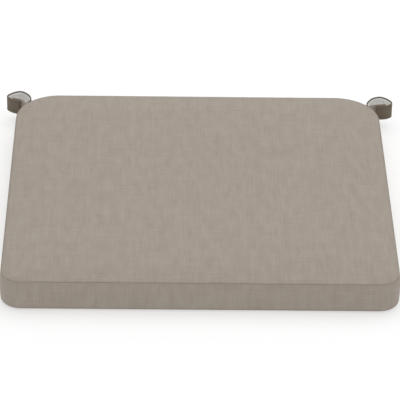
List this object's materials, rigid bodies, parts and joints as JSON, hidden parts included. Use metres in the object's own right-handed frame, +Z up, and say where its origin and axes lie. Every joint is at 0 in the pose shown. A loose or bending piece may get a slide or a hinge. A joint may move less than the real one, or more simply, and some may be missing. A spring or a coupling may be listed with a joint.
{
  "type": "chair seat pad",
  "caption": "Boxed fabric seat pad with a slim crowned top, rounded rear corners, a rear zip and a hook-and-loop strap loop at each rear corner.",
  "frame": {"origin": "middle of the underside of the pad, on the surface that it lies on", "axes": "X along the pad's width, Y from the front edge to the zipped rear edge, Z up"},
  "size_m": [0.5356, 0.4893, 0.048],
  "materials": {
    "cover_fabric": "matte",
    "strap_fabric": "matte",
    "loop_tape": "matte",
    "hook_tape": "matte",
    "foam": "matte",
    "batting": "matte",
    "zip_tape": "matte",
    "zip_coil": "satin",
    "zip_metal": "satin"
  },
  "bodies": {
    "pad": {"batting_bottom": "batting", "batting_top": "batting", "boxing_end_left": "cover_fabric", "boxing_end_right": "cover_fabric", "boxing_front_sides": "cover_fabric", "boxing_rear_lower": "cover_fabric", "boxing_rear_upper": "cover_fabric", "corner_seam_front_left": "cover_fabric", "corner_seam_front_right": "cover_fabric", "corner_seam_rear_left": "cover_fabric", "corner_seam_rear_right": "cover_fabric", "cover_bottom_panel": "cover_fabric", "cover_top_panel": "cover_fabric", "foam_core": "foam", "seam_allowance_bottom_front": "cover_fabric", "seam_allowance_bottom_rear": "cover_fabric", "seam_allowance_top_front": "cover_fabric", "seam_allowance_top_rear": "cover_fabric", "strap_end_front_left": "strap_fabric", "strap_end_front_right": "strap_fabric", "strap_end_rear_left": "strap_fabric", "strap_end_rear_right": "strap_fabric", "zip_coil_lower": "zip_coil", "zip_coil_upper": "zip_coil", "zip_stop_left": "zip_metal", "zip_stop_right": "zip_metal", "zip_tape_lower": "zip_tape", "zip_tape_upper": "zip_tape"},
    "zip_slider": {"zip_slider": "zip_metal"},
    "zip_pull": {"zip_pull": "zip_metal"},
    "strap_wall_left": {"strap_wall_left": "strap_fabric", "loop_tape_wall_left": "loop_tape"},
    "strap_turn_left": {"strap_turn_left": "strap_fabric", "loop_tape_turn_left": "loop_tape"},
    "strap_grip_left": {"strap_grip_left": "strap_fabric", "loop_tape_grip_left": "loop_tape"},
    "tab_left": {"tab_left": "strap_fabric", "hook_tape_left": "hook_tape"},
    "strap_wall_right": {"strap_wall_right": "strap_fabric", "loop_tape_wall_right": "loop_tape"},
    "strap_turn_right": {"strap_turn_right": "strap_fabric", "loop_tape_turn_right": "loop_tape"},
    "strap_grip_right": {"strap_grip_right": "strap_fabric", "loop_tape_grip_right": "loop_tape"},
    "tab_right": {"tab_right": "strap_fabric", "hook_tape_right": "hook_tape"}
  },
  "joints": [
    {"name": "zip_slide", "type": "slide", "parent": "pad", "child": "zip_slider", "axis": [1, 0, 0], "range_m": [-0.343, 0]},
    {"name": "zip_pull_flip", "type": "hinge", "parent": "zip_slider", "child": "zip_pull", "pos_m": [0.1715, 0.23855, 0.022], "axis": [0, 0, -1], "range_deg": [0, 175]},
    {"name": "strap_open_left", "type": "hinge", "parent": "pad", "child": "strap_wall_left", "pos_m": [-0.23284, 0.22087, 0.0255], "axis": [0, 0, -1], "range_deg": [0, 40]},
    {"name": "strap_unroll_left", "type": "hinge", "parent": "strap_wall_left", "child": "strap_turn_left", "pos_m": [-0.24665, 0.25426, 0.0255], "axis": [0, 0, -1], "range_deg": [0, 80]},
    {"name": "strap_peel_left", "type": "hinge", "parent": "strap_turn_left", "child": "strap_grip_left", "pos_m": [-0.26482, 0.24218, 0.0255], "axis": [0, 0, -1], "range_deg": [0, 100]},
    {"name": "tab_fold_left", "type": "hinge", "parent": "pad", "child": "tab_left", "pos_m": [-0.23505, 0.21869, 0.0255], "axis": [0, 0, -1], "range_deg": [-30, 0]},
    {"name": "strap_open_right", "type": "hinge", "parent": "pad", "child": "strap_wall_right", "pos_m": [0.23284, 0.22087, 0.0255], "axis": [0, 0, 1], "range_deg": [0, 40]},
    {"name": "strap_unroll_right", "type": "hinge", "parent": "strap_wall_right", "child": "strap_turn_right", "pos_m": [0.25872, 0.24739, 0.0255], "axis": [0, 0, 1], "range_deg": [0, 80]},
    {"name": "strap_peel_right", "type": "hinge", "parent": "strap_turn_right", "child": "strap_grip_right", "pos_m": [0.27042, 0.22913, 0.0255], "axis": [0, 0, 1], "range_deg": [0, 100]},
    {"name": "tab_fold_right", "type": "hinge", "parent": "pad", "child": "tab_right", "pos_m": [0.23505, 0.21869, 0.0255], "axis": [0, 0, 1], "range_deg": [-30, 0]}
  ],
  "couplings": [
    {"joint": "strap_unroll_left", "follows": "strap_open_left", "ratio": 2},
    {"joint": "strap_peel_left", "follows": "strap_open_left", "ratio": 2.5},
    {"joint": "tab_fold_left", "follows": "strap_open_left", "ratio": -0.75},
    {"joint": "strap_unroll_right", "follows": "strap_open_right", "ratio": 2},
    {"joint": "strap_peel_right", "follows": "strap_open_right", "ratio": 2.5},
    {"joint": "tab_fold_right", "follows": "strap_open_right", "ratio": -0.75}
  ]
}
